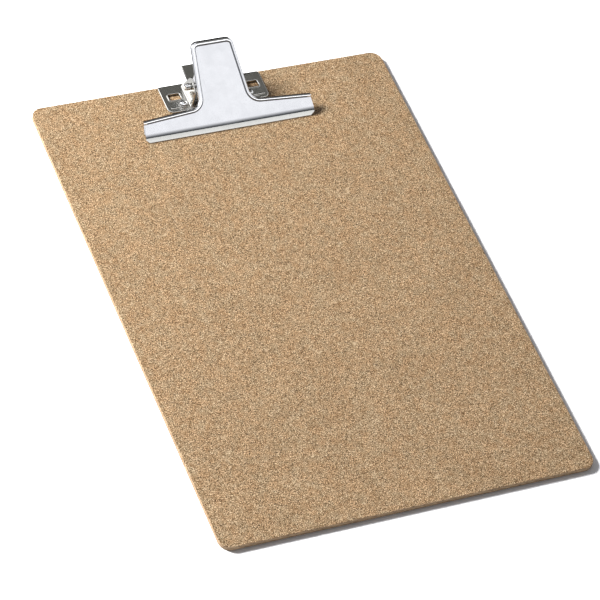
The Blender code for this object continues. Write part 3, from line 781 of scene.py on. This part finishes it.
def spring_half():
    """Right half of the wire, from the middle of the bridge to the end of the leg."""
    # the bridge bears under the web, and an arm runs from it to the coil at a tangent
    top_y = FOLD_Y + SPRING_TOP_S * cos(TILT)
    top_z = FOLD_Z + SPRING_TOP_S * sin(TILT) - (JAW_T + GAP + WIRE_R) / cos(TILT)
    reach = Vector((top_y - hinge.y, top_z - hinge.z))
    start_angle = atan2(reach.y, reach.x) + pi / 2 - asin(COIL_R / reach.length)
    to_coil = -reach.normalized()
    r = SPRING_BRIDGE_R
    points = [Vector((0.0, top_y, top_z))]
    for along, across in arc_points(0.0, 0.0, r, pi / 2, 0.0, 8):
        turned = (r - across) * to_coil
        points.append(Vector((COIL_INNER_X - r + along, top_y + turned.x, top_z + turned.y)))
    # the coil steps outwards along the pin, down to the leg that lies on the base plate
    floor_z = PLATE_TOP + GAP + WIRE_R
    end_angle = -pi / 2 - asin((hinge.z - COIL_R - floor_z) / SPRING_LEG_REACH)
    total = COIL_TURNS * 2 * pi + (start_angle - end_angle) % (2 * pi)
    steps = int(total / (2 * pi) * 36)
    coil = []
    for k in range(steps + 1):
        a = start_angle + total * k / steps
        x = COIL_INNER_X + COIL_PITCH * total / (2 * pi) * k / steps
        coil.append(Vector((x, hinge.y + COIL_R * cos(a), hinge.z + COIL_R * sin(a))))
    leg_end = Vector((coil[-1].x + SPRING_LEG_SPLAY, SPRING_LEG_Y, floor_z))
    points += split_run(points[-1], coil[0], 0.5) + coil[1:]
    return points + split_run(coil[-1], leg_end, 0.5)


def build_spring():
    """The wire runs between the base and the jaw, its bridge under the lever of the closed jaw."""
    half = spring_half()
    bm = bmesh.new()
    tube(bm, [Vector((-p.x, p.y, p.z)) for p in reversed(half[1:])] + half, WIRE_R, 16)
    spring = object_from("clip_spring", bm)
    spring.data.materials.append(nickel("spring_wire", (0.40, 0.39, 0.38), 0.3))
    finish_shading(spring)
    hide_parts("torsion_spring")
    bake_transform(spring)


# ---- rivets ----
def build_rivet(name, side, node):
    """Domed head on the wing, shank, and a flat tail in the board's recess."""
    head = PLATE_TOP + GAP
    tail = RECESS_DEPTH - GAP
    low = tail - RIVET_TAIL_H
    b = RIVET_TAIL_BEVEL
    tail_edge = arc_points(RIVET_TAIL_R - b, low + b, b, -pi / 2, 0.0, 4)
    profile = [(low, 0.0)] + [(z, r) for r, z in tail_edge]
    profile += [(tail, RIVET_TAIL_R), (tail, RIVET_R), (head, RIVET_R)]
    profile += [(head + dz, r) for dz, r in dome(RIVET_HEAD_R, RIVET_HEAD_H)]
    bm = bmesh.new()
    lathe(bm, profile, on_rivet_axis(side), 56)
    rivet = object_from(name, bm)
    rivet.data.materials.append(nickel(name + "_nickel", (0.84, 0.84, 0.84), 0.14))
    finish_shading(rivet)
    place(rivet, "base", node)


# ---- materials ----
BOARD_TONE = (0.388, 0.366, 0.317)
# (grain value, tint of the tone there), from dark pits to pale flecks
BOARD_TINTS = [
    (0.40, (0.020, 0.008, 0.003)),
    (0.45, (0.200, 0.110, 0.050)),
    (0.50, (0.480, 0.320, 0.180)),
    (0.55, (0.830, 0.640, 0.440)),
    (0.61, (1.450, 1.220, 0.950)),
]


class Nodes:
    """Adds linked shader nodes to a material or world. Inputs are sockets or plain values."""

    def __init__(self, tree):
        self.tree = tree

    def add(self, kind, **settings):
        node = self.tree.nodes.new(kind)
        for name, value in settings.items():
            setattr(node, name, value)
        return node

    def link(self, out, into):
        self.tree.links.new(out, into)

    def feed(self, socket, value):
        if hasattr(value, "is_output"):
            self.link(value, socket)
        else:
            socket.default_value = value

    def noise(self, coord, scale, detail=2.0, rough=0.5, distortion=0.0):
        node = self.add("ShaderNodeTexNoise")
        self.link(coord, node.inputs["Vector"])
        node.inputs["Scale"].default_value = scale
        node.inputs["Detail"].default_value = detail
        node.inputs["Roughness"].default_value = rough
        node.inputs["Distortion"].default_value = distortion
        return node.outputs["Fac"]

    def math(self, operation, a, b=0.0):
        node = self.add("ShaderNodeMath", operation=operation)
        self.feed(node.inputs[0], a)
        self.feed(node.inputs[1], b)
        return node.outputs[0]

    def product(self, *factors):
        result = factors[0]
        for factor in factors[1:]:
            result = self.math("MULTIPLY", result, factor)
        return result

    def weighted(self, a, share, b):
        """share of a plus the rest of b."""
        return self.math("ADD", self.product(a, share), self.product(b, 1.0 - share))

    def spread(self, value, low, high, out_low=0.0, out_high=1.0, smooth=False):
        """out_low where value is at low, out_high where it is at high, held beyond both."""
        node = self.add("ShaderNodeMapRange")
        if smooth:
            node.interpolation_type = "SMOOTHSTEP"
        self.feed(node.inputs["Value"], value)
        node.inputs["From Min"].default_value = low
        node.inputs["From Max"].default_value = high
        node.inputs["To Min"].default_value = out_low
        node.inputs["To Max"].default_value = out_high
        return node.outputs["Result"]

    def mix(self, fac, a, b, blend="MIX"):
        node = self.add("ShaderNodeMix", data_type="RGBA", blend_type=blend)
        self.feed(node.inputs[0], fac)
        self.feed(node.inputs[6], a)
        self.feed(node.inputs[7], b)
        return node.outputs[2]

    def ramp(self, fac, stops):
        node = self.add("ShaderNodeValToRGB")
        ramp = node.color_ramp
        while len(ramp.elements) < len(stops):
            ramp.elements.new(0.5)
        for element, (position, colour) in zip(ramp.elements, stops):
            element.position = position
            element.color = (*colour, 1.0)
        self.link(fac, node.inputs["Fac"])
        return node.outputs["Color"]

    def bump(self, height, strength, distance, normal=None):
        node = self.add("ShaderNodeBump")
        node.inputs["Strength"].default_value = strength
        node.inputs["Distance"].default_value = distance
        self.link(height, node.inputs["Height"])
        if normal is not None:
            self.link(normal, node.inputs["Normal"])
        return node.outputs["Normal"]


def new_material(name):
    """A material, its node helper, its shader and the object's own coordinates in metres."""
    mat = bpy.data.materials.new(name)
    mat.use_nodes = True
    nodes = Nodes(mat.node_tree)
    shader = mat.node_tree.nodes["Principled BSDF"]
    coord = nodes.add("ShaderNodeTexCoord").outputs["Object"]
    return mat, nodes, shader, coord


def stretched(nodes, coord, scale, turn=0.0):
    """Coordinates for a texture that is drawn out where scale is small, turned about Z."""
    node = nodes.add("ShaderNodeMapping")
    nodes.link(coord, node.inputs["Vector"])
    node.inputs["Scale"].default_value = scale
    node.inputs["Rotation"].default_value = (0.0, 0.0, turn)
    return node.outputs["Vector"]


def hardboard_colour(nodes, coord):
    """Brown pressed fibre: fine dark and pale flecks, with a few longer pale hairs.

    Returns the colour and the grain, which also drives the gloss and the relief.
    """
    fleck = nodes.noise(coord, 1850.0, 2.0, 0.6, 0.3)
    fibre_a = nodes.noise(stretched(nodes, coord, (1.0, 0.3, 1.0), 0.5), 2600.0, 1.0, 0.5)
    fibre_b = nodes.noise(stretched(nodes, coord, (0.3, 1.0, 1.0), -0.4), 2400.0, 1.0, 0.5)
    grain = nodes.weighted(fleck, 0.62, nodes.weighted(fibre_a, 0.5, fibre_b))
    colour = nodes.ramp(grain, [(position, tuple(a * b for a, b in zip(BOARD_TONE, tint)))
                                for position, tint in BOARD_TINTS])
    blotch = nodes.noise(coord, 22.0, 3.0, 0.55)
    tone = nodes.ramp(blotch, [(0.30, (0.96, 0.955, 0.95)), (0.70, (1.03, 1.03, 1.03))])
    colour = nodes.mix(1.0, colour, tone, "MULTIPLY")
    # small warm and cool patches
    patch = nodes.noise(coord, 190.0, 2.0, 0.6)
    hue = nodes.ramp(patch, [(0.35, (1.045, 0.975, 0.93)), (0.65, (0.985, 1.012, 1.045))])
    colour = nodes.mix(1.0, colour, hue, "MULTIPLY")
    # thin curved hairs: a contour line of one noise, broken up by another
    swirl = nodes.noise(coord, 75.0, 1.0, 0.4, 0.8)
    off_contour = nodes.math("ABSOLUTE", nodes.math("SUBTRACT", swirl, 0.5))
    line = nodes.spread(off_contour, 0.008, 0.003)
    breaks = nodes.noise(stretched(nodes, coord, (1.0, 1.0, 1.0), 0.7), 130.0, 1.0)
    hair = nodes.product(line, nodes.spread(breaks, 0.60, 0.63), 0.6)
    colour = nodes.mix(hair, colour, (0.40, 0.31, 0.20, 1.0))
    return colour, grain


def hardboard_face():
    """Smooth pressed face, a little glossier on the pale fibres."""
    mat, nodes, shader, coord = new_material("hardboard_face")
    colour, grain = hardboard_colour(nodes, coord)
    nodes.link(colour, shader.inputs["Base Color"])
    nodes.link(nodes.spread(grain, 0.3, 0.7, 0.62, 0.46), shader.inputs["Roughness"])
    shader.inputs["Specular IOR Level"].default_value = 0.35
    nodes.link(nodes.bump(grain, 0.35, 0.00008), shader.inputs["Normal"])
    return mat


def hardboard_edge():
    """Sawn edge: darker, with the layers of fibre lying along the sheet."""
    mat, nodes, shader, coord = new_material("hardboard_edge")
    layers = nodes.noise(stretched(nodes, coord, (1.0, 1.0, 7.0)), 420.0, 4.0, 0.65)
    colour = nodes.ramp(layers, [
        (0.32, (0.120, 0.078, 0.045)),
        (0.52, (0.300, 0.205, 0.125)),
        (0.70, (0.470, 0.350, 0.230)),
    ])
    nodes.link(colour, shader.inputs["Base Color"])
    shader.inputs["Roughness"].default_value = 0.85
    shader.inputs["Specular IOR Level"].default_value = 0.2
    nodes.link(nodes.bump(layers, 0.6, 0.00018), shader.inputs["Normal"])
    return mat


def nickel(name, tint, rough):
    """Plated pressed steel: faint waviness, cloudy gloss and hairline scuffs."""
    mat, nodes, shader, coord = new_material(name)
    cloud = nodes.noise(coord, 90.0, 3.0, 0.6)
    scuff = nodes.noise(stretched(nodes, coord, (1.0, 0.04, 1.0), 0.25), 2600.0, 2.0, 0.7)
    haze = nodes.weighted(cloud, 0.7, scuff)
    darker = tuple(c * 0.94 for c in tint)
    nodes.link(nodes.ramp(haze, [(0.35, darker), (0.6, tint)]), shader.inputs["Base Color"])
    shader.inputs["Metallic"].default_value = 1.0
    nodes.link(nodes.spread(haze, 0.35, 0.65, rough * 0.75, rough * 1.35), shader.inputs["Roughness"])
    wave = nodes.bump(nodes.noise(coord, 60.0, 2.0), 0.25, 0.00012)
    nodes.link(nodes.bump(scuff, 0.05, 0.00001, wave), shader.inputs["Normal"])
    return mat


# ---- studio ----
FLOOR_HALF = 0.6
FLOOR_DROP = 0.0003     # below the board's back face
# the key light stands over the rear left corner and is aimed at the origin
KEY = Vector((-1.19, 0.88, 1.02))
KEY_SIZE = 0.50
KEY_POWER = 116.0
# diffuse light of the room before the board and behind it, and its blue against its red
AMBIENT_FRONT = 0.14
AMBIENT_BACK = 0.36
AMBIENT_BLUE = 1.03
# direction of the lamp whose image polished domes show
GLINT = (-1.11, 1.05, 1.14)

# what the plated metal reflects: a white room with a softbox and dark flags
ROOM = (0.915, 0.93, 0.955, 1.0)
FLAG_HIGH = (0.165, 0.165, 0.155, 1.0)
FLAG_LOW = (0.02, 0.02, 0.02, 1.0)
SOFTBOX = (0.94, 0.955, 0.985, 1.0)
STRIP = (0.96, 0.96, 0.91, 1.0)
SHADE = (0.03, 0.035, 0.04, 1.0)
TABLE_EDGE = (0.04, 0.04, 0.04, 1.0)
TABLE = (0.95, 0.95, 0.96, 1.0)
LAMP_TUBE = (2.2, 2.2, 2.22, 1.0)
LAMP = (4.5, 4.5, 4.5, 1.0)
BACKDROP = (1.0, 1.0, 1.0, 1.0)

# the camera's place, and its own axes as directions in space
CAMERA_PLACE = (-0.6931, -1.08137, 1.46104)
CAMERA_RIGHT = (0.91758, -0.36125, 0.16596)
CAMERA_UP = (0.18056, 0.75061, 0.63559)
CAMERA_BACK = (-0.35418, -0.55324, 0.75397)
CAMERA_LENS = 195.41
CAMERA_SENSOR = 36.0


def build_floor():
    """Plain pale floor, which reflections don't show: the world's table stands for it there."""
    corners = [(-1, -1), (1, -1), (1, 1), (-1, 1)]
    mesh = bpy.data.meshes.new("floor")
    mesh.from_pydata([(x * FLOOR_HALF, y * FLOOR_HALF, 0.0) for x, y in corners], [], [(0, 1, 2, 3)])
    floor = bpy.data.objects.new("floor", mesh)
    bpy.context.scene.collection.objects.link(floor)
    floor.location.z = -FLOOR_DROP
    floor.visible_glossy = False
    mat, _, shader, _ = new_material("floor_white")
    shader.inputs["Base Color"].default_value = (0.97, 0.97, 0.98, 1.0)
    shader.inputs["Roughness"].default_value = 0.9
    shader.inputs["Specular IOR Level"].default_value = 0.1
    floor.data.materials.append(mat)


def build_key_light():
    """Square soft light; metal shows the world's panels instead of it."""
    data = bpy.data.lights.new("key", "AREA")
    data.shape = "SQUARE"
    data.size = KEY_SIZE
    data.energy = KEY_POWER
    key = bpy.data.objects.new("key", data)
    bpy.context.scene.collection.objects.link(key)
    key.location = KEY
    key.rotation_mode = "QUATERNION"
    key.rotation_quaternion = KEY.to_track_quat("Z", "Y")
    key.visible_glossy = False
    key.visible_camera = False


def room_colour(nodes, direction, x, y, z):
    """Colour of the studio in each direction. x, y and z are the parts of that direction."""
    # dark flags behind the clip: grey ones high up at the right, blacker ones low and wider
    right = nodes.spread(x, 0.02, 0.20)
    wide_and_low = nodes.product(nodes.spread(x, -0.50, -0.25), nodes.spread(z, 0.72, 0.60))
    behind = nodes.product(nodes.spread(y, -0.02, 0.14), nodes.math("MAXIMUM", right, wide_and_low),
                           nodes.spread(x, 0.78, 0.60))
    flag = nodes.mix(nodes.spread(z, 0.72, 0.50), FLAG_HIGH, FLAG_LOW)
    colour = nodes.mix(behind, ROOM, flag)

    # in front: a softbox that fades out downwards, a dark gap, and a bright strip along the table
    softbox = nodes.math("POWER", nodes.spread(z, 0.58, 0.87), 2.0)
    front = nodes.mix(softbox, SHADE, SOFTBOX)
    front = nodes.mix(nodes.spread(z, 0.31, 0.25), front, STRIP)
    colour = nodes.mix(nodes.spread(y, -0.2, -0.32), colour, front)

    # below: the table, dark near the horizon
    table = nodes.mix(nodes.spread(z, -0.45, -0.60), TABLE_EDGE, TABLE)
    colour = nodes.mix(nodes.spread(z, -0.05, -0.15), colour, table)

    # overhead: a bright tube from left to right, which lights the crests of the rolled edges
    tube_light = nodes.product(nodes.spread(y, -0.24, -0.14), nodes.spread(y, 0.04, -0.03),
                               nodes.spread(z, 0.80, 0.86))
    colour = nodes.mix(tube_light, colour, LAMP_TUBE)

    # a round lamp over the rear left corner, 10 degrees in radius with a soft edge to 16
    dot = nodes.add("ShaderNodeVectorMath", operation="DOT_PRODUCT")
    nodes.link(direction, dot.inputs[0])
    dot.inputs[1].default_value = Vector(GLINT).normalized()
    lamp = nodes.spread(dot.outputs["Value"], cos(radians(16.0)), cos(radians(10.0)), smooth=True)
    return nodes.mix(lamp, colour, LAMP)


def build_world():
    """Reflections see the studio, diffuse rays a plain room, and the camera plain white."""
    world = bpy.data.worlds.new("studio")
    world.use_nodes = True
    bpy.context.scene.world = world
    nodes = Nodes(world.node_tree)
    direction = nodes.add("ShaderNodeTexCoord").outputs["Generated"]
    split = nodes.add("ShaderNodeSeparateXYZ")
    nodes.link(direction, split.inputs[0])
    x, y, z = split.outputs
    colour = room_colour(nodes, direction, x, y, z)
    # diffuse light comes mostly from behind the clip end, which deepens the contact shadows
    front, back = ((level, level, level * AMBIENT_BLUE, 1.0) for level in (AMBIENT_FRONT, AMBIENT_BACK))
    ambient = nodes.mix(nodes.spread(y, -0.2, 0.2), front, back)
    ray = nodes.add("ShaderNodeLightPath")
    colour = nodes.mix(ray.outputs["Is Diffuse Ray"], colour, ambient)
    colour = nodes.mix(ray.outputs["Is Camera Ray"], colour, BACKDROP)
    nodes.link(colour, world.node_tree.nodes["Background"].inputs["Color"])


def build_camera():
    """Looks down on the board from its lower left, through a long lens."""
    data = bpy.data.cameras.new("camera")
    data.lens = CAMERA_LENS
    data.sensor_width = CAMERA_SENSOR
    camera = bpy.data.objects.new("camera", data)
    bpy.context.scene.collection.objects.link(camera)
    turn = Matrix((CAMERA_RIGHT, CAMERA_UP, CAMERA_BACK)).transposed().to_4x4()
    camera.matrix_world = Matrix.Translation(CAMERA_PLACE) @ turn
    bpy.context.scene.camera = camera


build_board()
build_plate()
build_jaw()
build_pin()
build_spring()
build_rivet("rivet_a", -1, "rivet_left")
build_rivet("rivet_b", 1, "rivet_right")
build_floor()
build_key_light()
build_world()
build_camera()
bpy.context.scene.view_settings.view_transform = "Standard"
